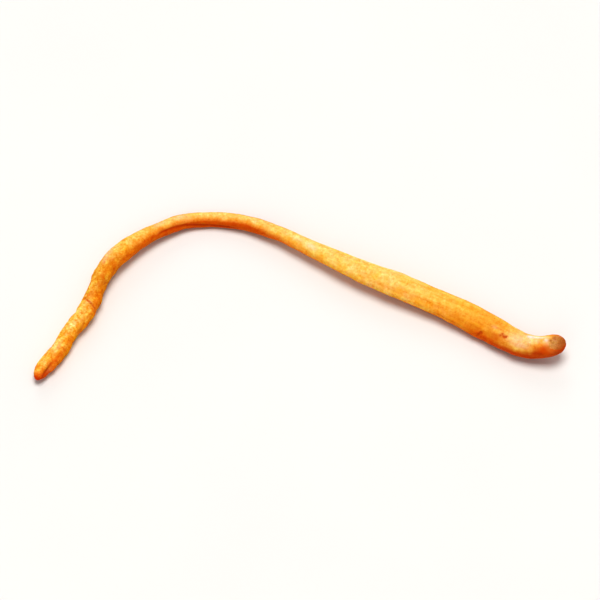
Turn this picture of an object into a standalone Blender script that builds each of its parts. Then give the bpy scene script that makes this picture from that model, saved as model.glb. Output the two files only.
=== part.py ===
"""Dried cordyceps: one strand, lying on its side.

One closed body, because it grew as one piece: a knobbly fertile head that ends in a blunt
tip, a slender stalk that arches over, and a wider, slightly flattened foot with a slanting
cut end. Metres, +Z up, resting on z = 0. The tip points to -X and the cut end to +X.
"""

import math

import bmesh
import bpy
import numpy as np
from mathutils import Vector, noise

MM = 0.001
NODE = "cordyceps"

# The strand from tip to cut end, in millimetres: x and y of its middle line, the gap between
# the floor and its underside, its breadth and its height. Where the gap is below 0 the strand
# is pressed flat by the floor that it rests on.
STATIONS = (
    (-48.83, -18.09, 0.55, 1.7, 1.8),
    (-48.23, -16.59, 0.35, 2.5, 2.4),
    (-47.08, -14.89, 0.10, 3.0, 2.9),
    (-44.78, -11.69, -0.22, 3.15, 3.1),
    (-43.63, -9.49, -0.10, 3.0, 2.9),
    (-42.23, -7.34, 0.10, 3.2, 3.2),
    (-40.13, -4.19, 0.30, 3.2, 3.1),
    (-38.73, -0.84, 0.45, 3.2, 3.0),
    (-37.93, 1.26, 0.60, 3.0, 2.9),
    (-36.63, 4.56, 0.75, 3.4, 3.2),
    (-34.33, 7.86, 0.85, 3.7, 3.3),
    (-31.03, 10.76, 0.75, 3.4, 3.1),
    (-26.83, 13.66, 0.45, 3.0, 2.8),
    (-22.33, 15.86, 0.05, 2.9, 2.7),
    (-16.63, 16.66, -0.22, 2.9, 2.7),
    (-11.83, 16.16, -0.08, 3.0, 2.7),
    (-5.93, 14.06, 0.50, 2.9, 2.7),
    (0.07, 10.76, 0.95, 3.0, 2.7),
    (6.07, 7.36, 1.15, 3.8, 2.9),
    (12.07, 4.16, 1.10, 4.6, 3.2),
    (18.07, 1.46, 0.85, 5.1, 3.5),
    (24.07, -1.24, 0.45, 5.1, 3.6),
    (30.07, -4.14, 0.05, 5.4, 3.8),
    (35.17, -7.14, -0.25, 5.6, 3.9),
    (39.17, -9.79, 0.00, 5.1, 3.9),
    (42.17, -11.29, 0.35, 4.7, 3.8),
    (44.97, -11.91, 1.10, 4.3, 3.7),
    (46.67, -12.00, 1.85, 4.1, 3.6),
    (47.77, -12.03, 2.65, 3.8, 3.4),
)

# Swellings, and dents where the height is below 0: place along the strand in millimetres,
# angle round it in degrees (0 faces +Y on the arch, 90 is the top), height, half length and
# half breadth in millimetres.
KNOBS = (
    (2.2, 96.0, 0.15, 1.5, 0.65),
    (2.7, 160.0, -0.16, 1.1, 0.60),
    (3.4, 40.0, 0.04, 1.3, 0.9),
    (5.6, 168.0, 0.12, 1.4, 0.9),
    (6.1, 66.0, 0.12, 0.9, 0.8),
    (6.6, 30.0, -0.10, 1.6, 0.8),
    (7.2, 84.0, -0.08, 0.6, 0.7),
    (8.3, 68.0, 0.12, 0.8, 0.8),
    (8.5, 250.0, 0.14, 1.6, 1.2),
    (9.3, 118.0, 0.12, 0.7, 0.6),
    (9.6, 25.0, 0.08, 1.2, 1.0),
    (9.9, 156.0, 0.08, 1.0, 0.8),
    (10.4, 94.0, -0.11, 0.6, 0.6),
    (11.2, 56.0, 0.12, 0.9, 0.8),
    (12.4, 30.0, 0.07, 1.3, 1.1),
    (12.2, 185.0, -0.20, 1.0, 0.9),
    (13.0, 137.0, 0.13, 0.8, 0.7),
    (13.2, 84.0, 0.13, 0.7, 0.8),
    (14.5, 118.0, -0.11, 0.6, 0.6),
    (14.6, 190.0, 0.14, 0.9, 0.9),
    (15.0, 76.0, 0.12, 0.7, 0.8),
    (16.7, 62.0, 0.10, 0.8, 0.8),
    (16.7, 129.0, 0.11, 0.8, 0.6),
    (16.7, 185.0, 0.13, 1.0, 1.0),
    (18.0, 300.0, 0.18, 1.4, 1.2),
    (20.4, 185.0, 0.18, 1.2, 1.0),
    (21.9, 30.0, 0.12, 1.4, 1.0),
    (22.6, 110.0, -0.10, 1.2, 1.1),
    (24.0, 330.0, 0.16, 1.6, 1.2),
    (24.6, 78.0, 0.09, 1.0, 0.8),
    (25.6, 170.0, 0.12, 1.4, 1.1),
    (27.5, 60.0, 0.12, 1.4, 1.0),
    (28.3, 102.0, -0.09, 0.9, 0.7),
    (30.3, 66.0, 0.10, 1.0, 0.9),
    (30.5, 200.0, 0.12, 1.6, 1.2),
    (33.0, 30.0, 0.10, 1.8, 1.1),
    (71.5, 95.0, 0.12, 2.2, 1.0),
    (89.0, 40.0, 0.14, 4.0, 1.4),
    (100.5, 250.0, 0.20, 3.2, 1.6),
    (106.8, 146.0, -0.22, 0.55, 0.45),
    (110.4, 112.0, -0.20, 0.50, 0.40),
    (111.6, 116.0, -0.24, 0.60, 0.40),
    (114.0, 320.0, 0.18, 2.0, 1.2),
    (119.0, 86.0, 0.16, 1.0, 0.9),
)

# Lengthwise furrows: places along the strand in millimetres where the furrow starts and
# ends, its angle there in degrees, depth and half breadth in millimetres.
FURROWS = (
    (0.4, 4.6, 156.0, 120.0, 0.20, 0.42),
    (2.5, 20.0, 320.0, 292.0, 0.20, 0.40),
    (37.0, 57.0, 136.0, 188.0, 0.26, 0.34),
    (26.0, 58.0, 285.0, 250.0, 0.26, 0.40),
    (52.0, 86.0, 35.0, 62.0, 0.12, 0.36),
    (60.0, 104.0, 215.0, 196.0, 0.16, 0.50),
    (70.0, 112.0, 300.0, 262.0, 0.34, 0.60),
    (78.0, 116.0, 128.0, 138.0, 0.08, 0.60),
    (92.0, 117.0, 336.0, 372.0, 0.20, 0.50),
)
FURROW_WANDER = 5.0
FURROW_WAVE = 15.0
FURROW_FADE = 0.2

# Cracks across the strand: places along the strand in millimetres at the first and at the
# last angle, those two angles in degrees, depth and half breadth in millimetres.
CRACKS = (
    (19.3, 17.6, 20.0, 166.0, 0.18, 0.30),
    (15.3, 15.9, 60.0, 120.0, 0.08, 0.26),
)
CRACK_FADE = 0.2

# The blunt tip and the slanting, slightly hollow cut end, in millimetres and degrees. The
# slope is how far the cut runs back for each millimetre towards the side that it faces.
TIP_LENGTH = 1.5
CUT_ROUNDING = 0.9
CUT_INSET = 0.34
CUT_DISH = 0.22
CUT_SLOPE = 0.80
CUT_BLEND = 7.0
CUT_FACING = 112.0

# Soft unevenness all over: height on the head, height elsewhere and length of each size, in
# millimetres, and where the head gives way to the stalk.
UNEVENNESS = ((0.20, 0.10, 2.4), (0.20, 0.06, 1.1))
HEAD_END = (24.0, 44.0)
ALONG_STRETCH = 0.7

# Spacing of the rings in millimetres, each up to a place along the strand.
RING_SPACING = ((36.0, 0.46), (100.0, 0.78), (200.0, 0.52))
TIP_RINGS = 5
CUT_RINGS = 4
FACE_RINGS = (0.72, 0.40)
SIDES = 22
LINE_STEPS = 1500


def hermite(knots, values, places):
    """A smooth curve through the values at the knots, read at the places."""
    slopes = np.gradient(values, knots, axis=0)
    index = np.clip(np.searchsorted(knots, places) - 1, 0, len(knots) - 2)
    step = (knots[index + 1] - knots[index])[:, None]
    t = (places - knots[index])[:, None] / step
    return (
        (2 * t**3 - 3 * t**2 + 1) * values[index]
        + (t**3 - 2 * t**2 + t) * slopes[index] * step
        + (3 * t**2 - 2 * t**3) * values[index + 1]
        + (t**3 - t**2) * slopes[index + 1] * step
    )


def station_places():
    """Each station's place along the strand, in millimetres from the tip."""
    rows = np.array(STATIONS)
    steps = np.hypot(np.diff(rows[:, 0]), np.diff(rows[:, 1]))
    return np.concatenate([[0.0], np.cumsum(steps)])


def unit(vectors):
    return vectors / np.linalg.norm(vectors, axis=1)[:, None]


def middle_line(places):
    """Centre, forward, left and up vectors, half breadth and half height at each place."""
    knots = station_places()
    fine = np.linspace(0.0, knots[-1], LINE_STEPS)
    row = hermite(knots, np.array(STATIONS), fine)
    half = row[:, 3:5] / 2
    centre = np.column_stack([row[:, :2], row[:, 2] + half[:, 1]])
    forward = unit(np.gradient(centre, fine, axis=0))
    left = unit(np.cross([0.0, 0.0, 1.0], forward))
    up = np.cross(forward, left)
    blocks = (centre, forward, left, up, half)
    return [np.column_stack([np.interp(places, fine, c) for c in b.T]) for b in blocks]


def ring_plan():
    """Each ring's place along the strand and its share of the full breadth."""
    length = station_places()[-1]
    plan = []
    for k in range(1, TIP_RINGS + 1):
        turn = math.pi / 2 * k / TIP_RINGS
        plan.append((TIP_LENGTH * (1 - math.cos(turn)), math.sin(turn)))
    start, last = TIP_LENGTH, length - CUT_ROUNDING
    for limit, spacing in RING_SPACING:
        end = min(limit, last)
        count = max(1, round((end - start) / spacing))
        plan += [(start + (end - start) * k / count, 1.0) for k in range(1, count + 1)]
        start = end
    for k in range(1, CUT_RINGS + 1):
        turn = math.pi / 2 * k / CUT_RINGS
        plan.append((last + CUT_ROUNDING * math.sin(turn), 1 - CUT_INSET * (1 - math.cos(turn))))
    for share in FACE_RINGS:
        plan.append((length - CUT_DISH * (1 - share**2), (1 - CUT_INSET) * share))
    return np.array(plan).T


def turn_apart(angle, centre):
    """Signed difference of two angles in degrees, between -180 and 180."""
    return (angle - centre + 180.0) % 360.0 - 180.0


def soft_step(value):
    """0 below 0, 1 above 1, and smooth between."""
    value = np.clip(value, 0.0, 1.0)
    return value * value * (3 - 2 * value)


def ends_faded(share, fade):
    """1 along the middle of a run, and smoothly 0 at its two ends."""
    return soft_step(share / fade) * soft_step((1 - share) / fade)


def relief(place, angle, radius):
    """Height of knobs, furrows and cracks over the plain oval section, in millimetres."""
    arc = radius * math.pi / 180
    height = np.zeros_like(place)
    for at, turn, rise, half_length, half_breadth in KNOBS:
        across = turn_apart(angle, turn) * arc / half_breadth
        height += rise * np.exp(-(((place - at) / half_length) ** 2) - across**2)
    for start, end, turn_start, turn_end, depth, half_breadth in FURROWS:
        share = (place - start) / (end - start)
        wander = FURROW_WANDER * np.sin(2 * math.pi * place / FURROW_WAVE + start)
        across = turn_apart(angle, turn_start + (turn_end - turn_start) * share + wander) * arc
        height -= depth * ends_faded(share, FURROW_FADE) * np.exp(-((across / half_breadth) ** 2))
    for start, end, turn_start, turn_end, depth, half_breadth in CRACKS:
        share = turn_apart(angle, turn_start) / (turn_end - turn_start)
        along = (place - start - (end - start) * share) / half_breadth
        height -= depth * ends_faded(share, CRACK_FADE) * np.exp(-(along**2))
    return height


def unevenness(place, angle, radius):
    """Soft hollows and swellings all over, in millimetres."""
    height = np.zeros_like(place)
    head = 1 - soft_step((place - HEAD_END[0]) / (HEAD_END[1] - HEAD_END[0]))
    for head_size, size, length in UNEVENNESS:
        x = radius * np.cos(angle) / length
        y = radius * np.sin(angle) / length
        z = ALONG_STRETCH * place / length
        for at in np.ndindex(place.shape):
            rise = size + (head_size - size) * head[at]
            height[at] += rise * noise.noise(Vector((x[at], y[at], z[at])))
    return height


def strand_points():
    """Every ring of the strand as points in millimetres, then the tip and the cut's middle."""
    places, share = ring_plan()
    centre, forward, left, up, half = middle_line(places)
    angle = np.tile(np.arange(SIDES) * 2 * math.pi / SIDES, (len(places), 1))
    place = np.tile(places[:, None], (1, SIDES))
    radius = np.tile(half.mean(axis=1)[:, None], (1, SIDES))
    height = relief(place, np.degrees(angle), radius) + unevenness(place, angle, radius)
    scale = share[:, None] * (1 + height / radius)
    sideways = half[:, :1] * np.cos(angle) * scale
    upward = half[:, 1:] * np.sin(angle) * scale
    facing = math.radians(CUT_FACING)
    blend = soft_step(1 - (places[-1] - places) / CUT_BLEND)[:, None] ** 2
    back = CUT_SLOPE * blend * (sideways * math.cos(facing) + upward * math.sin(facing))
    points = (
        centre[:, None]
        + left[:, None] * sideways[..., None]
        + up[:, None] * upward[..., None]
        - forward[:, None] * back[..., None]
    )
    tip = centre[0] - forward[0] * places[0]
    cut_middle = points[-1].mean(axis=0)
    points[..., 2] = np.maximum(points[..., 2], 0.0)
    return points, tip, cut_middle


def strand_mesh():
    """The closed body, lofted through the rings and closed with a fan at each end."""
    points, tip, cut_middle = strand_points()
    bm = bmesh.new()
    rings = [[bm.verts.new(Vector(p) * MM) for p in ring] for ring in points]
    for near, far in zip(rings, rings[1:]):
        for k in range(SIDES):
            after = (k + 1) % SIDES
            bm.faces.new((near[k], near[after], far[after], far[k]))
    for ring, apex in ((rings[0], tip), (rings[-1], cut_middle)):
        middle = bm.verts.new(Vector(apex) * MM)
        for k in range(SIDES):
            bm.faces.new((ring[k], ring[(k + 1) % SIDES], middle))
    bmesh.ops.triangulate(bm, faces=bm.faces)
    bmesh.ops.recalc_face_normals(bm, faces=bm.faces)
    mesh = bpy.data.meshes.new(NODE)
    bm.to_mesh(mesh)
    bm.free()
    mesh.shade_smooth()
    return mesh


def dried_fungus():
    """Matte golden orange skin."""
    material = bpy.data.materials.new("dried_fungus")
    material.use_nodes = True
    shader = material.node_tree.nodes["Principled BSDF"]
    shader.inputs["Base Color"].default_value = (0.86, 0.38, 0.05, 1.0)
    shader.inputs["Roughness"].default_value = 0.62
    shader.inputs["Metallic"].default_value = 0.0
    return material


def main():
    for old in list(bpy.data.objects):
        bpy.data.objects.remove(old, do_unlink=True)
    mesh = strand_mesh()
    mesh.materials.append(dried_fungus())
    strand = bpy.data.objects.new(NODE, mesh)
    bpy.context.scene.collection.objects.link(strand)


main()
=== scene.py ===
"""Dried cordyceps strand: its fine skin, colours, floor, light and camera.

The skin follows the same middle line, knobs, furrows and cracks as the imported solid, adds
the grain that the solid leaves out, and stands in the solid's place. Lengths are in
millimetres until the mesh is made.
"""

import math

import bpy
import numpy as np
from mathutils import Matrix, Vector, noise


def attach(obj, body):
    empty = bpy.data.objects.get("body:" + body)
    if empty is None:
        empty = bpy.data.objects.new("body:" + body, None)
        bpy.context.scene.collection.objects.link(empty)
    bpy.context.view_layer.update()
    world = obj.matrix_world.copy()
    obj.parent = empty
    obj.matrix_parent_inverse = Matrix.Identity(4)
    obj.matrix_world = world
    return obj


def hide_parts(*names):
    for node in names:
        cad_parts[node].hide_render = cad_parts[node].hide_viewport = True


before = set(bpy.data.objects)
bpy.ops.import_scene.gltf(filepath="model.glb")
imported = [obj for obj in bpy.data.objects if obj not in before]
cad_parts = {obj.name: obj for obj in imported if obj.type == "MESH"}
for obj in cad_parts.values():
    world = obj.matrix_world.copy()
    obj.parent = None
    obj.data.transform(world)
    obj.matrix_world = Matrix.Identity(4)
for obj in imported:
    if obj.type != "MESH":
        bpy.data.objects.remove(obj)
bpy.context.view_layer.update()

MM = 0.001

# The strand from tip to cut end: x and y of its middle line, the gap between the floor and
# its underside, its breadth and its height.
STATIONS = (
    (-48.83, -18.09, 0.55, 1.7, 1.8),
    (-48.23, -16.59, 0.35, 2.5, 2.4),
    (-47.08, -14.89, 0.10, 3.0, 2.9),
    (-44.78, -11.69, -0.22, 3.15, 3.1),
    (-43.63, -9.49, -0.10, 3.0, 2.9),
    (-42.23, -7.34, 0.10, 3.2, 3.2),
    (-40.13, -4.19, 0.30, 3.2, 3.1),
    (-38.73, -0.84, 0.45, 3.2, 3.0),
    (-37.93, 1.26, 0.60, 3.0, 2.9),
    (-36.63, 4.56, 0.75, 3.4, 3.2),
    (-34.33, 7.86, 0.85, 3.7, 3.3),
    (-31.03, 10.76, 0.75, 3.4, 3.1),
    (-26.83, 13.66, 0.45, 3.0, 2.8),
    (-22.33, 15.86, 0.05, 2.9, 2.7),
    (-16.63, 16.66, -0.22, 2.9, 2.7),
    (-11.83, 16.16, -0.08, 3.0, 2.7),
    (-5.93, 14.06, 0.50, 2.9, 2.7),
    (0.07, 10.76, 0.95, 3.0, 2.7),
    (6.07, 7.36, 1.15, 3.8, 2.9),
    (12.07, 4.16, 1.10, 4.6, 3.2),
    (18.07, 1.46, 0.85, 5.1, 3.5),
    (24.07, -1.24, 0.45, 5.1, 3.6),
    (30.07, -4.14, 0.05, 5.4, 3.8),
    (35.17, -7.14, -0.25, 5.6, 3.9),
    (39.17, -9.79, 0.00, 5.1, 3.9),
    (42.17, -11.29, 0.35, 4.7, 3.8),
    (44.97, -11.91, 1.10, 4.3, 3.7),
    (46.67, -12.00, 1.85, 4.1, 3.6),
    (47.77, -12.03, 2.65, 3.8, 3.4),
)

# Swellings, and dents where the height is below 0: place along the strand, angle round it in
# degrees (0 faces +Y on the arch, 90 is the top), height, half length and half breadth.
KNOBS = (
    (2.2, 96.0, 0.15, 1.5, 0.65),
    (2.7, 160.0, -0.16, 1.1, 0.60),
    (3.4, 40.0, 0.04, 1.3, 0.9),
    (5.6, 168.0, 0.12, 1.4, 0.9),
    (6.1, 66.0, 0.12, 0.9, 0.8),
    (6.6, 30.0, -0.10, 1.6, 0.8),
    (7.2, 84.0, -0.08, 0.6, 0.7),
    (8.3, 68.0, 0.12, 0.8, 0.8),
    (8.5, 250.0, 0.14, 1.6, 1.2),
    (9.3, 118.0, 0.12, 0.7, 0.6),
    (9.6, 25.0, 0.08, 1.2, 1.0),
    (9.9, 156.0, 0.08, 1.0, 0.8),
    (10.4, 94.0, -0.11, 0.6, 0.6),
    (11.2, 56.0, 0.12, 0.9, 0.8),
    (12.4, 30.0, 0.07, 1.3, 1.1),
    (12.2, 185.0, -0.20, 1.0, 0.9),
    (13.0, 137.0, 0.13, 0.8, 0.7),
    (13.2, 84.0, 0.13, 0.7, 0.8),
    (14.5, 118.0, -0.11, 0.6, 0.6),
    (14.6, 190.0, 0.14, 0.9, 0.9),
    (15.0, 76.0, 0.12, 0.7, 0.8),
    (16.7, 62.0, 0.10, 0.8, 0.8),
    (16.7, 129.0, 0.11, 0.8, 0.6),
    (16.7, 185.0, 0.13, 1.0, 1.0),
    (18.0, 300.0, 0.18, 1.4, 1.2),
    (20.4, 185.0, 0.18, 1.2, 1.0),
    (21.9, 30.0, 0.12, 1.4, 1.0),
    (22.6, 110.0, -0.10, 1.2, 1.1),
    (24.0, 330.0, 0.16, 1.6, 1.2),
    (24.6, 78.0, 0.09, 1.0, 0.8),
    (25.6, 170.0, 0.12, 1.4, 1.1),
    (27.5, 60.0, 0.12, 1.4, 1.0),
    (28.3, 102.0, -0.09, 0.9, 0.7),
    (30.3, 66.0, 0.10, 1.0, 0.9),
    (30.5, 200.0, 0.12, 1.6, 1.2),
    (33.0, 30.0, 0.10, 1.8, 1.1),
    (71.5, 95.0, 0.12, 2.2, 1.0),
    (89.0, 40.0, 0.14, 4.0, 1.4),
    (100.5, 250.0, 0.20, 3.2, 1.6),
    (114.0, 320.0, 0.18, 2.0, 1.2),
    (119.0, 86.0, 0.16, 1.0, 0.9),
)

# Pits, in the same columns as the knobs, with their depth for the height.
PITS = (
    (17.9, 60.0, 0.09, 0.26, 0.26),
    (17.4, 82.0, 0.07, 0.24, 0.22),
    (11.8, 85.0, 0.05, 0.22, 0.22),
    (106.6, 170.0, 0.14, 0.28, 0.34),
    (106.8, 158.0, 0.20, 0.30, 0.34),
    (107.1, 146.0, 0.26, 0.32, 0.32),
    (110.8, 114.0, 0.14, 0.34, 0.24),
    (111.1, 103.0, 0.16, 0.30, 0.22),
    (111.7, 111.0, 0.28, 0.40, 0.26),
    (112.1, 102.0, 0.12, 0.26, 0.20),
)

# Pale patches, partly mealy skin and partly painted highlights, such as the white strip along
# the bend of the foot and the glint beside the cut face, in the same columns, with their
# strength from 0 to 1 for the height.
PALE_AND_HIGHLIGHT_PATCHES = (
    (70.5, 100.0, 0.55, 1.3, 0.5),
    (67.6, 88.0, 0.30, 1.2, 0.4),
    (44.0, 70.0, 0.35, 1.2, 0.5),
    (29.0, 50.0, 0.25, 2.0, 0.7),
    (109.0, 94.0, 0.20, 0.6, 0.35),
    (114.3, 96.0, 0.40, 2.0, 1.0),
    (115.2, 122.0, 0.28, 1.6, 0.45),
    (116.4, 62.0, 0.80, 1.1, 0.42),
    (116.8, 90.0, 0.30, 0.8, 0.50),
    (118.5, 56.0, 1.20, 1.9, 0.32),
    (118.9, 84.0, 0.30, 0.8, 0.50),
    (2.9, 164.0, 0.10, 0.9, 0.35),
    (7.6, 88.0, 0.20, 0.7, 0.40),
    (27.6, 70.0, 0.22, 0.9, 0.40),
    (40.2, 73.0, 0.28, 1.3, 0.45),
    (45.6, 88.0, 0.18, 0.8, 0.50),
    (121.0, 74.0, 0.85, 0.40, 0.45),
    (121.3, 98.0, 0.50, 0.35, 0.60),
)

# Deep orange patches, partly the skin's own deeper colour and partly painted shade in its
# hollows, its tip fold, round its pits and on its lower side, in the same columns as the pale
# ones.
DEEP_AND_SHADE_PATCHES = (
    (1.5, 152.0, 0.90, 0.7, 0.45),
    (1.6, 118.0, 0.35, 0.6, 0.40),
    (2.5, 142.0, 0.75, 0.8, 0.36),
    (3.8, 131.0, 0.65, 0.9, 0.45),
    (5.6, 128.0, 0.40, 1.2, 0.42),
    (5.8, 88.0, 0.12, 0.7, 0.40),
    (7.6, 134.0, 0.35, 1.2, 0.45),
    (10.9, 105.0, 0.30, 0.9, 0.4),
    (13.6, 95.0, 0.35, 0.6, 0.5),
    (14.6, 120.0, 0.30, 0.7, 0.5),
    (15.8, 147.0, 0.20, 0.8, 0.4),
    (18.1, 138.0, 0.35, 1.2, 0.6),
    (19.8, 98.0, 0.22, 0.8, 0.5),
    (19.6, 62.0, 0.35, 0.6, 0.4),
    (20.2, 84.0, 0.40, 0.8, 0.4),
    (22.6, 110.0, 0.45, 1.3, 0.5),
    (24.6, 112.0, 0.40, 0.8, 0.4),
    (28.3, 102.0, 0.40, 0.9, 0.5),
    (34.2, 118.0, 0.30, 1.6, 0.5),
    (43.4, 132.0, 0.22, 0.8, 0.4),
    (61.2, 104.0, 0.12, 1.0, 0.5),
    (67.5, 163.0, 0.20, 0.9, 0.5),
    (76.0, 68.0, 0.10, 1.6, 0.7),
    (106.8, 158.0, 0.50, 0.35, 0.35),
    (107.1, 146.0, 0.80, 0.32, 0.34),
    (109.3, 152.0, 0.30, 0.8, 0.35),
    (109.7, 123.0, 0.40, 1.0, 0.35),
    (110.3, 136.0, 0.55, 0.7, 0.35),
    (111.0, 104.0, 0.45, 0.30, 0.20),
    (111.6, 112.0, 0.85, 0.38, 0.26),
    (118.2, 132.0, 0.25, 1.0, 0.7),
    (120.6, 132.0, 0.92, 1.1, 0.8),
    (121.0, 162.0, 0.65, 0.8, 0.8),
)

# Brown spots on the cut face: how far left and up from its middle, radius and strength.
FACE_SPOTS = (
    (0.30, 1.19, 0.22, 0.75),
    (1.02, 0.70, 0.20, 0.60),
    (0.10, 0.55, 0.16, 0.35),
    (-0.55, 0.80, 0.18, 0.35),
    (-0.80, -0.30, 0.20, 0.30),
)

# Lengthwise furrows: places along the strand where the furrow starts and ends, its angles
# there in degrees, depth and half breadth. It swings to both sides by FURROW_WANDER degrees
# over each FURROW_WAVE, and FURROW_FADE of its length fades out at each end.
FURROWS = (
    (0.4, 4.6, 156.0, 120.0, 0.20, 0.42),
    (2.5, 20.0, 320.0, 292.0, 0.20, 0.40),
    (37.0, 57.0, 136.0, 188.0, 0.26, 0.34),
    (26.0, 58.0, 285.0, 250.0, 0.26, 0.40),
    (52.0, 86.0, 35.0, 62.0, 0.12, 0.36),
    (60.0, 104.0, 215.0, 196.0, 0.16, 0.50),
    (70.0, 112.0, 300.0, 262.0, 0.34, 0.60),
    (78.0, 116.0, 128.0, 138.0, 0.08, 0.60),
    (92.0, 117.0, 336.0, 372.0, 0.20, 0.50),
)
FURROW_WANDER = 5.0
FURROW_WAVE = 15.0
FURROW_FADE = 0.2

# Cracks across the strand: places along the strand at the first and at the last angle, those
# two angles in degrees, depth and half breadth.
CRACKS = (
    (19.3, 17.6, 20.0, 166.0, 0.16, 0.25),
    (15.3, 15.9, 60.0, 120.0, 0.06, 0.22),
)
CRACK_FADE = 0.2

# The blunt tip and the slanting, slightly hollow cut end.
TIP_LENGTH = 1.5
CUT_ROUNDING = 0.9
CUT_INSET = 0.34
CUT_DISH = 0.22
CUT_SLOPE = 0.80
CUT_BLEND = 7.0
CUT_FACING = 112.0

# The edge of the bare flesh on the cut end, as a share of the strand's breadth, how far the
# skin reaches in over it on one side, that side's angle, and how soft and how ragged it is.
FLESH_EDGE = 0.92
SKIN_REACH = 0.30
SKIN_SIDE = 210.0
FLESH_EDGE_SOFTNESS = 0.18
RAGGED_SHARE = 0.11
RAGGED_LENGTH = 0.55
RAGGED_SLICE = 3.0

# The ring of browned skin round the flesh, and the height over which the cut end darkens.
BROWNED_SHARE = 0.12
FACE_SHADE_HEIGHT = 2.4

# Roughness of the cut face: height and length of each size.
FACE_GRAIN = ((0.12, 1.0), (0.05, 0.45), (0.025, 0.22))
FACE_GRAIN_SLICE = 11.0

# Soft unevenness all over: height on the head, height elsewhere and length of each size. It
# changes more slowly along the strand than across it.
UNEVENNESS = ((0.20, 0.10, 2.4), (0.20, 0.06, 1.1))
ALONG_STRETCH = 0.7

# Granules: spacing, radius in spacings, height of all and what the head's have more.
GRANULE_CELL = 0.46
GRANULE_RADIUS = 0.62
GRANULE_HEIGHT = 0.016
HEAD_GRANULE_HEIGHT = 0.040

# Fibres of the stalk and foot: breadth, length, place in the noise and share of each size,
# height of all and what the foot's have more.
FIBRES = ((0.26, 4.0, 0.0, 0.6), (0.5, 7.0, 31.0, 1.0))
FIBRE_HEIGHT = 0.009
FOOT_FIBRE_HEIGHT = 0.014

# Crumbs: breadth, length, place in the noise and height.
CRUMB_BREADTH = 0.3
CRUMB_LENGTH = 0.34
CRUMB_SLICE = 57.0
CRUMB_HEIGHT = 0.016

# Pinholes: spacing, radius in spacings, place in the noise and depth.
HOLE_CELL = 1.15
HOLE_RADIUS = 0.13
HOLE_SLICE = 9.0
HOLE_DEPTH = 0.07

# How fast the grain sets in from the tip and from the middle of the cut face.
GRAIN_RISE = 1.5

# Depths at which a pit or crack has its full colour and a furrow its full painted shade, how
# much of a scar a pinhole makes, and how much weaker the furrows' painted shade on the head and
# the fibres of the stalk are.
SCAR_DEPTH = 0.16
FURROW_DEPTH = 0.24
HOLE_SCAR = 0.6
HEAD_FURROW_LOSS = 0.5
STALK_STREAK = 0.25

# The grid of the skin.
TIP_RINGS = 16
BODY_RINGS = 1160
CUT_RINGS = 12
FACE_RINGS = 16
SIDES = 80
LINE_STEPS = 3000

# The side of the strand that faces the light and has the palest colour, away from which painted
# shade sets in, as an angle round it.
LIT_SIDE = 75.0

# Where the head's grain gives way to the stalk's, and the stalk's to the foot's.
HEAD_END = (24.0, 44.0)
FOOT_START = (80.0, 98.0)

# A range gives the low and high end of a value and what these are brought to, which is 0 and
# 1 where it isn't given. A noise gives the size of its blotches, and its detail and roughness
# where they aren't the usual ones.

# Colours of the skin from the tip, at 0, to the cut end, at 1: on the lit side, on the side
# away from it, where they are painted shade, and on the underside, where they are deeper painted
# shade.
UPPER_COLOURS = (
    (0.000, (0.74, 0.100, 0.004)),
    (0.005, (0.88, 0.200, 0.010)),
    (0.011, (0.95, 0.480, 0.070)),
    (0.060, (0.96, 0.575, 0.120)),
    (0.110, (0.97, 0.645, 0.160)),
    (0.170, (0.84, 0.440, 0.060)),
    (0.215, (0.83, 0.440, 0.050)),
    (0.255, (0.93, 0.560, 0.105)),
    (0.290, (0.96, 0.590, 0.150)),
    (0.315, (0.95, 0.510, 0.095)),
    (0.350, (0.96, 0.590, 0.175)),
    (0.430, (0.97, 0.620, 0.190)),
    (0.510, (0.97, 0.625, 0.185)),
    (0.538, (0.98, 0.710, 0.240)),
    (0.560, (0.98, 0.680, 0.210)),
    (0.640, (0.99, 0.680, 0.210)),
    (0.720, (0.99, 0.630, 0.190)),
    (0.790, (0.96, 0.550, 0.112)),
    (0.850, (0.90, 0.475, 0.068)),
    (0.905, (0.86, 0.460, 0.074)),
    (0.935, (0.91, 0.560, 0.140)),
    (0.965, (0.91, 0.610, 0.165)),
    (0.985, (0.94, 0.520, 0.110)),
)
LOWER_SHADE_COLOURS = (
    (0.000, (0.60, 0.060, 0.002)),
    (0.035, (0.90, 0.250, 0.006)),
    (0.060, (0.92, 0.325, 0.007)),
    (0.130, (0.92, 0.330, 0.007)),
    (0.190, (0.79, 0.265, 0.008)),
    (0.270, (0.84, 0.240, 0.006)),
    (0.330, (0.74, 0.170, 0.004)),
    (0.480, (0.73, 0.150, 0.003)),
    (0.545, (0.88, 0.240, 0.006)),
    (0.620, (0.98, 0.390, 0.022)),
    (0.740, (0.99, 0.520, 0.046)),
    (0.790, (0.96, 0.380, 0.018)),
    (0.860, (0.81, 0.220, 0.007)),
    (0.900, (0.76, 0.180, 0.005)),
    (0.950, (0.66, 0.115, 0.003)),
    (1.000, (0.62, 0.105, 0.003)),
)
UNDERSIDE_SHADE_COLOURS = (
    (0.500, (0.80, 0.220, 0.006)),
    (0.620, (0.96, 0.320, 0.008)),
    (0.780, (0.94, 0.270, 0.007)),
    (0.860, (0.80, 0.170, 0.005)),
    (0.930, (0.68, 0.105, 0.003)),
    (1.000, (0.62, 0.115, 0.003)),
)

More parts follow.
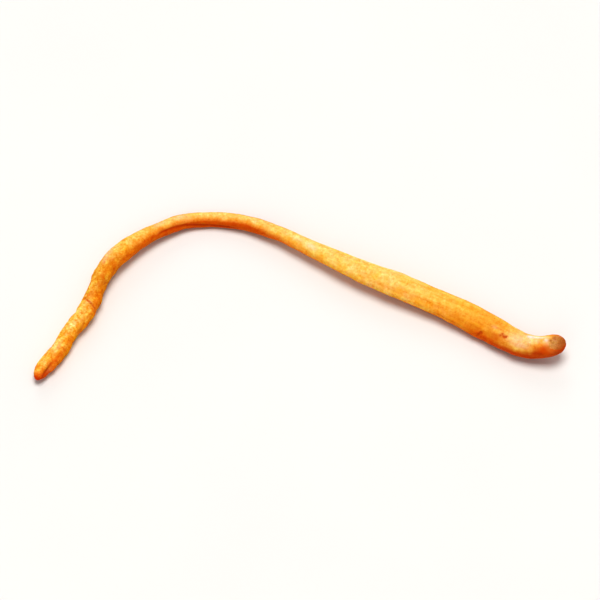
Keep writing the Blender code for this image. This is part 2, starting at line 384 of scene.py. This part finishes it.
# How soon the lower colours' painted shade sets in round the strand, from tip to cut end. A
# higher value is sooner.
LOWER_REACH = (
    (0.000, 0.29),
    (0.035, 0.30),
    (0.060, 0.40),
    (0.130, 0.38),
    (0.170, 0.35),
    (0.240, 0.36),
    (0.290, 0.46),
    (0.330, 0.56),
    (0.400, 0.62),
    (0.470, 0.62),
    (0.510, 0.34),
    (0.560, 0.17),
    (0.640, 0.16),
    (0.690, 0.07),
    (0.740, 0.06),
    (0.800, 0.09),
    (0.850, 0.16),
    (0.890, 0.34),
    (0.925, 0.24),
    (0.948, 0.17),
    (0.966, 0.26),
    (0.985, 0.58),
)
LOWER_REACH_RANGE = (0.0, 1.0, 0.0, 2.8)
LOWER_RANGE = (0.03, 0.45)
SIDE_DRIFT = ((2.2,), (0.3, 0.7, -0.08, 0.08))

# Where round the strand the underside's painted shade sets in, from tip to cut end: 0 is the
# lit side and 1 the one across from it.
UNDERSIDE_START = (
    (0.480, 0.95),
    (0.540, 0.50),
    (0.640, 0.49),
    (0.720, 0.53),
    (0.860, 0.53),
    (0.900, 0.47),
    (0.930, 0.33),
    (0.970, 0.33),
    (0.990, 0.48),
)
UNDERSIDE_RANGE = (0.0, 0.2)

# A gain multiplies red, green and blue. This one takes blue away where the side turns down, as
# painted shade.
SIDE_RANGE = (0.0, 0.3)
SHADE_SIDE_GAIN = (1.00, 0.98, 0.62)

# Mottling: noise and its range, and the gains of its darkest and palest parts. The strength
# runs from that on stalk and foot to that on the head.
MOTTLING = (
    ((1.60,), (0.34, 0.66), (0.95, 0.84, 0.58), (1.02, 1.12, 1.42)),
    ((0.75,), (0.32, 0.68), (0.92, 0.67, 0.32), (1.04, 1.22, 1.78)),
    ((0.34,), (0.34, 0.66), (0.95, 0.79, 0.55), (1.03, 1.21, 1.52)),
)
MOTTLING_STRENGTH = (0.0, 1.0, 0.42, 0.95)

# Painted light on the raised grain, painted shade in the sunk grain, and the fibres' own
# streaks.
RAISED_RANGE = (0.2, 2.2, 0.0, 0.6)
RAISED_LIGHT_GAIN = (1.03, 1.16, 1.50)
SUNK_RANGE = (-0.3, -2.4, 0.0, 0.7)
SUNK_SHADE_GAIN = (0.90, 0.60, 0.35)
STREAK_RANGE = (-0.6, 0.6)
DARK_FIBRE_GAIN = (0.96, 0.90, 0.78)
PALE_FIBRE_GAIN = (1.01, 1.06, 1.16)

# Pale patches, which are partly mealy skin and partly painted highlights, deep orange patches,
# which are partly the skin's own colour and partly painted shade, painted shade in the furrows,
# and scars, which are pits and cracks. Noise breaks up the pale patches and the scars.
MEAL_AND_HIGHLIGHT_NOISE = ((0.35, 3.0, 0.6), (0.35, 0.62, 0.60, 1.0))
PALE_MEAL_AND_HIGHLIGHT = (0.95, 0.81, 0.73)
DEEP_ORANGE_AND_SHADE = (0.70, 0.130, 0.003)
FURROW_RANGE = (0.15, 1.0, 0.0, 0.6)
FURROW_SHADE_GAIN = (0.82, 0.37, 0.12)
SCAR_RANGE = (0.1, 0.9, 0.0, 0.9)
SCAR_NOISE = ((0.45,), (0.36, 0.56, 0.45, 1.0))
SCAR_BROWN = (0.62, 0.105, 0.004)

# The cut end: its flesh, the browned skin round it and the brown spots on it.
FLESH_NOISE = ((1.1,), (0.34, 0.66))
DARK_FLESH = (0.70, 0.360, 0.110)
PALE_FLESH = (0.83, 0.480, 0.180)
SHADED_FLESH = (0.46, 0.150, 0.030)
CRUMB_NOISE = ((0.28, 3.0), (0.32, 0.68))
DARK_CRUMB_GAIN = (0.88, 0.80, 0.70)
PALE_CRUMB_GAIN = (1.06, 1.12, 1.20)
RIM_RANGE = (0.0, 1.0, 0.0, 0.55)
BROWNED_SKIN = (0.74, 0.300, 0.060)
SHADED_SKIN = (0.36, 0.060, 0.005)
FACE_SPOT_BROWN = (0.42, 0.110, 0.012)

# How the skin takes the light: its roughness and what the head's has more, its gloss, the
# glow of light inside it, and fine bumps.
ROUGHNESS_NOISE = ((0.8,), (0.3, 0.7, 0.48, 0.62))
HEAD_ROUGHNESS = 0.12
SKIN_IOR = 1.33
SKIN_SPECULAR = 0.18
GLOW_WEIGHT = 0.7
GLOW_RADIUS = (1.0, 0.28, 0.04)
GLOW_SCALE = 1.1
BUMP_NOISE = (0.16, 4.0, 0.6)
BUMP_DEPTH = 0.05
BUMP_STRENGTH = 0.3

# The pale floor.
FLOOR_DROP = 0.05
FLOOR_RADIUS = 9000.0
FLOOR_SIDES = 64
FLOOR_NOISE = (40.0,)
FLOOR_COLOURS = ((0.80, 0.79, 0.775), (0.83, 0.82, 0.81))
FLOOR_ROUGHNESS = 0.8
FLOOR_SPECULAR = 0.2

# Square soft lights: name, azimuth, which is 0 at -Y and 90 at +X, elevation, size, watts and
# colour.
LIGHTS = (
    ("key", 170, 80, 12000, 2367, (1.0, 0.985, 0.96)),
    ("rim", 190, 28, 7500, 367, (1.0, 0.99, 0.97)),
    ("fill", -20, 35, 12500, 340, (1.0, 0.97, 0.92)),
)
LIGHT_DISTANCE = 20000
SURROUND_STRENGTH = 0.26

# The camera looks down on the strand at the angle at which the photo sees the arch.
VIEW_TARGET = (0.0, -1.0, 1.5)
VIEW_ELEVATION = 60
VIEW_DISTANCE = 1555.0
LENS = 500.0
CLIP_START = 1


def hermite(knots, values, places):
    """A smooth curve through the values at the knots, read at the places."""
    slopes = np.gradient(values, knots, axis=0)
    index = np.clip(np.searchsorted(knots, places) - 1, 0, len(knots) - 2)
    step = (knots[index + 1] - knots[index])[:, None]
    t = (places - knots[index])[:, None] / step
    return (
        (2 * t**3 - 3 * t**2 + 1) * values[index]
        + (t**3 - 2 * t**2 + t) * slopes[index] * step
        + (3 * t**2 - 2 * t**3) * values[index + 1]
        + (t**3 - t**2) * slopes[index + 1] * step
    )


def station_places():
    """Each station's place along the strand, from the tip."""
    rows = np.array(STATIONS)
    steps = np.hypot(np.diff(rows[:, 0]), np.diff(rows[:, 1]))
    return np.concatenate([[0.0], np.cumsum(steps)])


def unit(vectors):
    """The same directions, each of length 1."""
    return vectors / np.linalg.norm(vectors, axis=1)[:, None]


def middle_line(places):
    """Centre, forward, left and up vectors, half breadth and half height at each place."""
    knots = station_places()
    fine = np.linspace(0.0, knots[-1], LINE_STEPS)
    row = hermite(knots, np.array(STATIONS), fine)
    half = row[:, 3:5] / 2
    centre = np.column_stack([row[:, :2], row[:, 2] + half[:, 1]])
    forward = unit(np.gradient(centre, fine, axis=0))
    left = unit(np.cross([0.0, 0.0, 1.0], forward))
    up = np.cross(forward, left)
    blocks = (centre, forward, left, up, half)
    return [np.column_stack([np.interp(places, fine, c) for c in b.T]) for b in blocks]


def ring_plan():
    """Each ring's place along the strand and its share of the full breadth."""
    length = station_places()[-1]
    last = length - CUT_ROUNDING
    turns = np.arange(1, TIP_RINGS + 1) / TIP_RINGS * math.pi / 2
    tip = np.column_stack([TIP_LENGTH * (1 - np.cos(turns)), np.sin(turns)])
    body = np.linspace(TIP_LENGTH, last, BODY_RINGS + 1)[1:]
    body = np.column_stack([body, np.ones(BODY_RINGS)])
    turns = np.arange(1, CUT_RINGS + 1) / CUT_RINGS * math.pi / 2
    rim_share = 1 - CUT_INSET * (1 - np.cos(turns))
    rim = np.column_stack([last + CUT_ROUNDING * np.sin(turns), rim_share])
    share = 1 - np.arange(1, FACE_RINGS) / FACE_RINGS
    face = np.column_stack([length - CUT_DISH * (1 - share**2), (1 - CUT_INSET) * share])
    return np.vstack([tip, body, rim, face]).T


def turn_apart(angle, centre):
    """Signed difference of two angles in degrees, between -180 and 180."""
    return (angle - centre + 180.0) % 360.0 - 180.0


def soft_step(value):
    """0 below 0, 1 above 1, and smooth between."""
    value = np.clip(value, 0.0, 1.0)
    return value * value * (3 - 2 * value)


def ends_faded(share, fade):
    """1 along the middle of a run, and smoothly 0 at its two ends."""
    return soft_step(share / fade) * soft_step((1 - share) / fade)


def head_share(place):
    """1 on the head, and smoothly 0 on the stalk and foot."""
    return 1 - soft_step((place - HEAD_END[0]) / (HEAD_END[1] - HEAD_END[0]))


def foot_share(place):
    """1 on the foot, and smoothly 0 on the stalk and head."""
    return soft_step((place - FOOT_START[0]) / (FOOT_START[1] - FOOT_START[0]))


def spots(rows, place, angle, arc):
    """Sum of soft round spots, each with its own height."""
    height = np.zeros_like(place)
    for at, turn, rise, half_length, half_breadth in rows:
        across = turn_apart(angle, turn) * arc / half_breadth
        height += rise * np.exp(-(((place - at) / half_length) ** 2) - across**2)
    return height


def furrows(place, angle, arc):
    """Depth of the lengthwise furrows."""
    depth = np.zeros_like(place)
    for start, end, turn_start, turn_end, deep, half_breadth in FURROWS:
        share = (place - start) / (end - start)
        wander = FURROW_WANDER * np.sin(2 * math.pi * place / FURROW_WAVE + start)
        across = turn_apart(angle, turn_start + (turn_end - turn_start) * share + wander) * arc
        depth += deep * ends_faded(share, FURROW_FADE) * np.exp(-((across / half_breadth) ** 2))
    return depth


def cracks(place, angle):
    """Depth of the cracks across the strand."""
    depth = np.zeros_like(place)
    for start, end, turn_start, turn_end, deep, half_breadth in CRACKS:
        share = turn_apart(angle, turn_start) / (turn_end - turn_start)
        along = (place - start - (end - start) * share) / half_breadth
        depth += deep * ends_faded(share, CRACK_FADE) * np.exp(-(along**2))
    return depth


def each_noise(x, y, z):
    """Smooth noise between -1 and 1 at every point of a grid."""
    flat = np.column_stack([x.ravel(), y.ravel(), z.ravel()])
    return np.array([noise.noise(Vector(p)) for p in flat]).reshape(x.shape)


def each_cell(x, y, z):
    """Distance to the nearest of scattered points, in cell sizes, at every point of a grid."""
    flat = np.column_stack([x.ravel(), y.ravel(), z.ravel()])
    return np.array([noise.voronoi(Vector(p))[0][0] for p in flat]).reshape(x.shape)


def granules(place, x, y):
    """Low mounds, packed close: 1 on top and 0 between them."""
    near = each_cell(x / GRANULE_CELL, y / GRANULE_CELL, place / GRANULE_CELL)
    return 1 - np.clip(near / GRANULE_RADIUS, 0, 1) ** 2


def fibres(place, x, y):
    """Long fine ridges and grooves along the strand."""
    return sum(
        share * each_noise(x / breadth, y / breadth, place / length + at)
        for breadth, length, at, share in FIBRES
    )


def crumbs(place, x, y):
    """Small soft bumps."""
    return each_noise(x / CRUMB_BREADTH, y / CRUMB_BREADTH, place / CRUMB_LENGTH + CRUMB_SLICE)


def pinholes(place, x, y):
    """Scattered pinholes: 1 in their middle and 0 outside."""
    near = each_cell(x / HOLE_CELL + HOLE_SLICE, y / HOLE_CELL, place / HOLE_CELL)
    return np.clip(1 - near / HOLE_RADIUS, 0, 1)


def ragged_flesh(place, x, y, angle, share):
    """1 on the bare flesh of the cut face, and 0 where skin covers its edge."""
    level = np.full_like(place, RAGGED_SLICE)
    ragged = RAGGED_SHARE * each_noise(x / RAGGED_LENGTH, y / RAGGED_LENGTH, level)
    skin_side = soft_step(np.cos(angle - math.radians(SKIN_SIDE)))
    inside = FLESH_EDGE - SKIN_REACH * skin_side - share + ragged
    return soft_step(inside / FLESH_EDGE_SOFTNESS)


def face_spots(sideways, upward):
    """Strength of the brown spots on the cut face."""
    brown = np.zeros_like(sideways)
    for left_of, above, size, strength in FACE_SPOTS:
        apart = (sideways - left_of) ** 2 + (upward - above) ** 2
        brown += strength * np.exp(-apart / size**2)
    return brown


def skin_grid():
    """The skin as rings of points, with the values that the material reads."""
    places, share = ring_plan()
    share = share[:, None]
    centre, forward, left, up, half = middle_line(places)
    angle = np.tile(np.arange(SIDES) * 2 * math.pi / SIDES, (len(places), 1))
    place = np.tile(places[:, None], (1, SIDES))
    radius = np.tile(half.mean(axis=1)[:, None], (1, SIDES))
    degrees = np.degrees(angle)
    arc = radius * math.pi / 180
    x, y = radius * np.cos(angle), radius * np.sin(angle)
    head, foot = head_share(place), foot_share(place)

    pit = spots(PITS, place, degrees, arc)
    furrow = furrows(place, degrees, arc)
    crack = cracks(place, degrees)
    height = spots(KNOBS, place, degrees, arc) - pit - furrow - crack
    for head_size, size, length in UNEVENNESS:
        rise = size + (head_size - size) * head
        height += rise * each_noise(x / length, y / length, ALONG_STRETCH * place / length)
    fibre, hole = fibres(place, x, y), pinholes(place, x, y)
    grain = (
        (GRANULE_HEIGHT + HEAD_GRANULE_HEIGHT * head) * granules(place, x, y)
        + (FIBRE_HEIGHT + FOOT_FIBRE_HEIGHT * foot) * (1 - head) * fibre
        + CRUMB_HEIGHT * crumbs(place, x, y)
        - HOLE_DEPTH * hole
    )
    height += grain * soft_step(share * GRAIN_RISE)

    scale = share * (1 + height / radius)
    sideways = half[:, :1] * np.cos(angle) * scale
    upward = half[:, 1:] * np.sin(angle) * scale
    facing = math.radians(CUT_FACING)
    blend = soft_step(1 - (places[-1] - places) / CUT_BLEND)[:, None] ** 2
    back = CUT_SLOPE * blend * (sideways * math.cos(facing) + upward * math.sin(facing))
    cut_end = (np.arange(len(places)) > TIP_RINGS + BODY_RINGS)[:, None]
    flesh = cut_end * ragged_flesh(place, x, y, angle, share)
    level = np.full_like(place, FACE_GRAIN_SLICE)
    for size, length in FACE_GRAIN:
        back += size * flesh * each_noise(sideways / length, upward / length, level)
    points = (
        centre[:, None]
        + left[:, None] * sideways[..., None]
        + up[:, None] * upward[..., None]
        - forward[:, None] * back[..., None]
    )
    tip = centre[0] - forward[0] * places[0]
    cut_middle = points[-1].mean(axis=0)
    points[..., 2] = np.maximum(points[..., 2], 0.0)

    pale = np.clip(spots(PALE_AND_HIGHLIGHT_PATCHES, place, degrees, arc), 0, 1)
    values = {
        "place": place / places.max(),
        # How far each point turns from the lit side, which sets the painted shade.
        "under": (1 - np.cos(angle - math.radians(LIT_SIDE))) / 2,
        "head": head,
        "pale": pale,
        "deep": np.clip(spots(DEEP_AND_SHADE_PATCHES, place, degrees, arc), 0, 1),
        "cut": flesh,
        "rim": cut_end * soft_step((1.0 - share) / BROWNED_SHARE) * (1 - pale),
        "brown": cut_end * face_spots(sideways, upward),
        "shade": cut_end * soft_step(0.5 - upward / FACE_SHADE_HEIGHT),
        "streak": fibre * (STALK_STREAK + (1 - STALK_STREAK) * foot),
        "grain": (grain - grain.mean()) / grain.std(),
        "scar": np.clip(pit / SCAR_DEPTH + crack / SCAR_DEPTH + HOLE_SCAR * hole, 0, 1),
        "furrow": np.clip(furrow / FURROW_DEPTH, 0, 1) * (1 - HEAD_FURROW_LOSS * head),
    }
    return points, tip, cut_middle, values


def skin_faces(rings):
    """Faces between neighbouring rings, and a fan at each end."""
    ring = np.arange(rings * SIDES).reshape(rings, SIDES)
    after = np.roll(ring, -1, axis=1)
    quads = np.stack([ring[:-1], after[:-1], after[1:], ring[1:]], axis=-1).reshape(-1, 4)
    tip, cut = rings * SIDES, rings * SIDES + 1
    fans = [(tip, ring[0, k], after[0, k]) for k in range(SIDES)]
    fans += [(cut, after[-1, k], ring[-1, k]) for k in range(SIDES)]
    return [tuple(q) for q in quads[:, ::-1].tolist()] + fans


def strand_skin():
    """The strand's skin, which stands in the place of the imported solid."""
    points, tip, cut_middle, values = skin_grid()
    vertices = np.vstack([points.reshape(-1, 3), tip, cut_middle]) * MM
    mesh = bpy.data.meshes.new("strand_skin")
    mesh.from_pydata(vertices.tolist(), [], skin_faces(len(points)))
    for name, value in values.items():
        ends = [value[0].mean(), value[-1].mean()]
        layer = mesh.attributes.new(name, "FLOAT", "POINT")
        layer.data.foreach_set("value", np.concatenate([value.ravel(), ends]).astype(np.float32))
    mesh.shade_smooth()
    mesh.materials.append(skin_material())
    skin = bpy.data.objects.new("strand_skin", mesh)
    bpy.context.scene.collection.objects.link(skin)
    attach(skin, "root")
    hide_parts("cordyceps")


def new_material(name):
    """A new material with its node tree and its shader."""
    material = bpy.data.materials.new(name)
    material.use_nodes = True
    tree = material.node_tree
    return material, tree, tree.nodes["Principled BSDF"]


def add_node(tree, kind, inputs=(), **settings):
    """A new shader node, with its inputs linked or set and its settings."""
    node = tree.nodes.new(kind)
    for key, value in settings.items():
        setattr(node, key, value)
    for key, value in dict(inputs).items():
        if isinstance(value, bpy.types.NodeSocket):
            tree.links.new(value, node.inputs[key])
        else:
            node.inputs[key].default_value = value
    return node


def attribute(tree, name):
    """One of the mesh's own values."""
    return add_node(tree, "ShaderNodeAttribute", attribute_name=name).outputs["Fac"]


def ramp(tree, value, stops):
    """Colours along a value between 0 and 1."""
    node = add_node(tree, "ShaderNodeValToRGB", {"Fac": value})
    elements = node.color_ramp.elements
    while len(elements) < len(stops):
        elements.new(0.5)
    for element, (at, colour) in zip(elements, stops):
        element.position = at
        element.color = (*colour, 1.0)
    return node.outputs["Color"]


def grey_ramp(tree, value, stops):
    """Numbers between 0 and 1 along a value between 0 and 1."""
    return ramp(tree, value, [(at, (grey, grey, grey)) for at, grey in stops])


def stretch(tree, value, low, high, to_low=0.0, to_high=1.0):
    """A value between low and high, brought to another range and held inside it."""
    inputs = {"Value": value, "From Min": low, "From Max": high}
    inputs.update({"To Min": to_low, "To Max": to_high})
    return add_node(tree, "ShaderNodeMapRange", inputs, clamp=True).outputs["Result"]


def calculate(tree, operation, *values):
    """The result of a calculation with the values."""
    node = add_node(tree, "ShaderNodeMath", dict(enumerate(values)), operation=operation)
    return node.outputs[0]


def mix(tree, share, first, second, blend="MIX"):
    """Two colours mixed by a share between 0 and 1."""
    node = add_node(tree, "ShaderNodeMix", data_type="RGBA", blend_type=blend)
    for index, value in ((0, share), (6, first), (7, second)):
        if isinstance(value, bpy.types.NodeSocket):
            tree.links.new(value, node.inputs[index])
        elif index == 0:
            node.inputs[index].default_value = value
        else:
            node.inputs[index].default_value = (*value, 1.0)
    return node.outputs[2]


def tint(tree, share, colour, gain):
    """A colour whose red, green and blue are multiplied by gains, by a share between 0 and 1."""
    return mix(tree, share, colour, gain, "MULTIPLY")


def noise_value(tree, position, size, detail=2.0, roughness=0.5):
    """Noise whose blotches are about the given size in millimetres."""
    scale = 1 / (size * MM)
    inputs = {"Vector": position, "Scale": scale, "Detail": detail, "Roughness": roughness}
    return add_node(tree, "ShaderNodeTexNoise", inputs).outputs["Fac"]


def ranged(tree, name, limits):
    """A value of the mesh, brought to a range."""
    return stretch(tree, attribute(tree, name), *limits)


def blotches(tree, position, texture, limits):
    """Noise brought to a range."""
    return stretch(tree, noise_value(tree, position, *texture), *limits)


def colours_with_painted_shade(tree, position):
    """Golden orange on the lit side, with painted shade that deepens it round the sides and most
    underneath.
    """
    place = attribute(tree, "place")
    under = attribute(tree, "under")
    reach = stretch(tree, grey_ramp(tree, place, LOWER_REACH), *LOWER_REACH_RANGE)
    drift = blotches(tree, position, *SIDE_DRIFT)
    low = stretch(tree, calculate(tree, "MULTIPLY_ADD", under, reach, drift), *LOWER_RANGE)
    upper, lower = ramp(tree, place, UPPER_COLOURS), ramp(tree, place, LOWER_SHADE_COLOURS)
    colour = mix(tree, low, upper, lower)
    colour = tint(tree, stretch(tree, low, *SIDE_RANGE), colour, SHADE_SIDE_GAIN)
    beyond = calculate(tree, "SUBTRACT", under, grey_ramp(tree, place, UNDERSIDE_START))
    underside = ramp(tree, place, UNDERSIDE_SHADE_COLOURS)
    return mix(tree, stretch(tree, beyond, *UNDERSIDE_RANGE), colour, underside)


def mottled(tree, position, colour):
    """The colour with blotches of several sizes, stronger on the head."""
    strength = ranged(tree, "head", MOTTLING_STRENGTH)
    for texture, limits, dark_gain, pale_gain in MOTTLING:
        blotch = blotches(tree, position, texture, limits)
        colour = tint(tree, strength, colour, mix(tree, blotch, dark_gain, pale_gain))
    return colour


def grained(tree, colour):
    """The colour with painted light on the raised grain, painted shade in the sunk grain, and
    darker between fibres.
    """
    colour = tint(tree, ranged(tree, "grain", RAISED_RANGE), colour, RAISED_LIGHT_GAIN)
    colour = tint(tree, ranged(tree, "grain", SUNK_RANGE), colour, SUNK_SHADE_GAIN)
    streak = ranged(tree, "streak", STREAK_RANGE)
    return tint(tree, 1.0, colour, mix(tree, streak, DARK_FIBRE_GAIN, PALE_FIBRE_GAIN))


def patched(tree, position, colour):
    """The colour with its pale patches of mealy skin and painted highlight, its deep orange
    patches of own colour and painted shade, painted shade in its furrows, and its pits and
    cracks.
    """
    highlight_and_meal_noise = blotches(tree, position, *MEAL_AND_HIGHLIGHT_NOISE)
    pale = calculate(tree, "MULTIPLY", attribute(tree, "pale"), highlight_and_meal_noise)
    colour = mix(tree, pale, colour, PALE_MEAL_AND_HIGHLIGHT)
    colour = mix(tree, attribute(tree, "deep"), colour, DEEP_ORANGE_AND_SHADE)
    colour = tint(tree, ranged(tree, "furrow", FURROW_RANGE), colour, FURROW_SHADE_GAIN)
    scar, broken = ranged(tree, "scar", SCAR_RANGE), blotches(tree, position, *SCAR_NOISE)
    return mix(tree, calculate(tree, "MULTIPLY", scar, broken), colour, SCAR_BROWN)


def cut_open(tree, position, colour):
    """The colour with the browned rim of the cut end, its tan flesh and its brown spots."""
    shade = attribute(tree, "shade")
    flesh = mix(tree, blotches(tree, position, *FLESH_NOISE), DARK_FLESH, PALE_FLESH)
    flesh = mix(tree, shade, flesh, SHADED_FLESH)
    crumb = blotches(tree, position, *CRUMB_NOISE)
    flesh = tint(tree, 1.0, flesh, mix(tree, crumb, DARK_CRUMB_GAIN, PALE_CRUMB_GAIN))
    browned = mix(tree, shade, BROWNED_SKIN, SHADED_SKIN)
    colour = mix(tree, ranged(tree, "rim", RIM_RANGE), colour, browned)
    colour = mix(tree, attribute(tree, "cut"), colour, flesh)
    return mix(tree, attribute(tree, "brown"), colour, FACE_SPOT_BROWN)


def skin_material():
    """Dried skin: golden orange, with painted light on its granules, and deep orange painted
    shade in its hollows and below.
    """
    material, tree, shader = new_material("dried_fungus_skin")
    position = add_node(tree, "ShaderNodeTexCoord").outputs["Object"]
    colour = colours_with_painted_shade(tree, position)
    colour = mottled(tree, position, colour)
    colour = grained(tree, colour)
    colour = patched(tree, position, colour)
    colour = cut_open(tree, position, colour)
    tree.links.new(colour, shader.inputs["Base Color"])
    worn = blotches(tree, position, *ROUGHNESS_NOISE)
    rough = calculate(tree, "MULTIPLY_ADD", attribute(tree, "head"), HEAD_ROUGHNESS, worn)
    tree.links.new(rough, shader.inputs["Roughness"])
    shader.inputs["IOR"].default_value = SKIN_IOR
    shader.inputs["Specular IOR Level"].default_value = SKIN_SPECULAR
    shader.inputs["Subsurface Weight"].default_value = GLOW_WEIGHT
    shader.inputs["Subsurface Radius"].default_value = GLOW_RADIUS
    shader.inputs["Subsurface Scale"].default_value = GLOW_SCALE * MM
    fine = noise_value(tree, position, *BUMP_NOISE)
    relief = {"Height": fine, "Strength": BUMP_STRENGTH, "Distance": BUMP_DEPTH * MM}
    bump = add_node(tree, "ShaderNodeBump", relief)
    tree.links.new(bump.outputs["Normal"], shader.inputs["Normal"])
    return material


def floor_material():
    """Plain pale board."""
    material, tree, shader = new_material("pale_floor")
    position = add_node(tree, "ShaderNodeTexCoord").outputs["Object"]
    colour = mix(tree, noise_value(tree, position, *FLOOR_NOISE), *FLOOR_COLOURS)
    tree.links.new(colour, shader.inputs["Base Color"])
    shader.inputs["Roughness"].default_value = FLOOR_ROUGHNESS
    shader.inputs["Specular IOR Level"].default_value = FLOOR_SPECULAR
    return material


def floor():
    """A wide pale floor just under the strand."""
    turns = [2 * math.pi * k / FLOOR_SIDES for k in range(FLOOR_SIDES)]
    rim = [(math.cos(t) * FLOOR_RADIUS, math.sin(t) * FLOOR_RADIUS, -FLOOR_DROP) for t in turns]
    mesh = bpy.data.meshes.new("floor")
    mesh.from_pydata([[c * MM for c in p] for p in rim], [], [tuple(range(FLOOR_SIDES))])
    mesh.materials.append(floor_material())
    obj = bpy.data.objects.new("floor", mesh)
    bpy.context.scene.collection.objects.link(obj)


def area_light(name, azimuth, elevation, size, watts, colour):
    """A square soft light that looks at the strand."""
    turn, rise = math.radians(azimuth - 90), math.radians(elevation)
    flat = math.cos(rise)
    place = Vector((math.cos(turn) * flat, math.sin(turn) * flat, math.sin(rise)))
    light = bpy.data.lights.new(name, "AREA")
    light.shape = "SQUARE"
    light.size = size * MM
    light.energy = watts
    light.color = colour
    obj = bpy.data.objects.new(name, light)
    obj.location = place * LIGHT_DISTANCE * MM
    obj.rotation_euler = place.to_track_quat("Z", "Y").to_euler()
    bpy.context.scene.collection.objects.link(obj)


def studio():
    """Soft light from almost overhead, weaker ones from behind and in front, a pale surround."""
    for row in LIGHTS:
        area_light(*row)
    world = bpy.data.worlds.new("surround")
    world.use_nodes = True
    background = world.node_tree.nodes["Background"]
    background.inputs["Color"].default_value = (1.0, 1.0, 1.0, 1.0)
    background.inputs["Strength"].default_value = SURROUND_STRENGTH
    bpy.context.scene.world = world
    bpy.context.scene.view_settings.view_transform = "Standard"
    bpy.context.scene.view_settings.look = "High Contrast"


def camera():
    """A long lens that looks down on the strand."""
    elevation = math.radians(VIEW_ELEVATION)
    back = Vector((0.0, -math.cos(elevation), math.sin(elevation)))
    data = bpy.data.cameras.new("camera")
    data.lens = LENS
    data.clip_start = CLIP_START * MM
    obj = bpy.data.objects.new("camera", data)
    obj.location = (Vector(VIEW_TARGET) + back * VIEW_DISTANCE) * MM
    obj.rotation_euler = back.to_track_quat("Z", "Y").to_euler()
    bpy.context.scene.collection.objects.link(obj)
    bpy.context.scene.camera = obj


camera()
studio()
floor()
strand_skin()
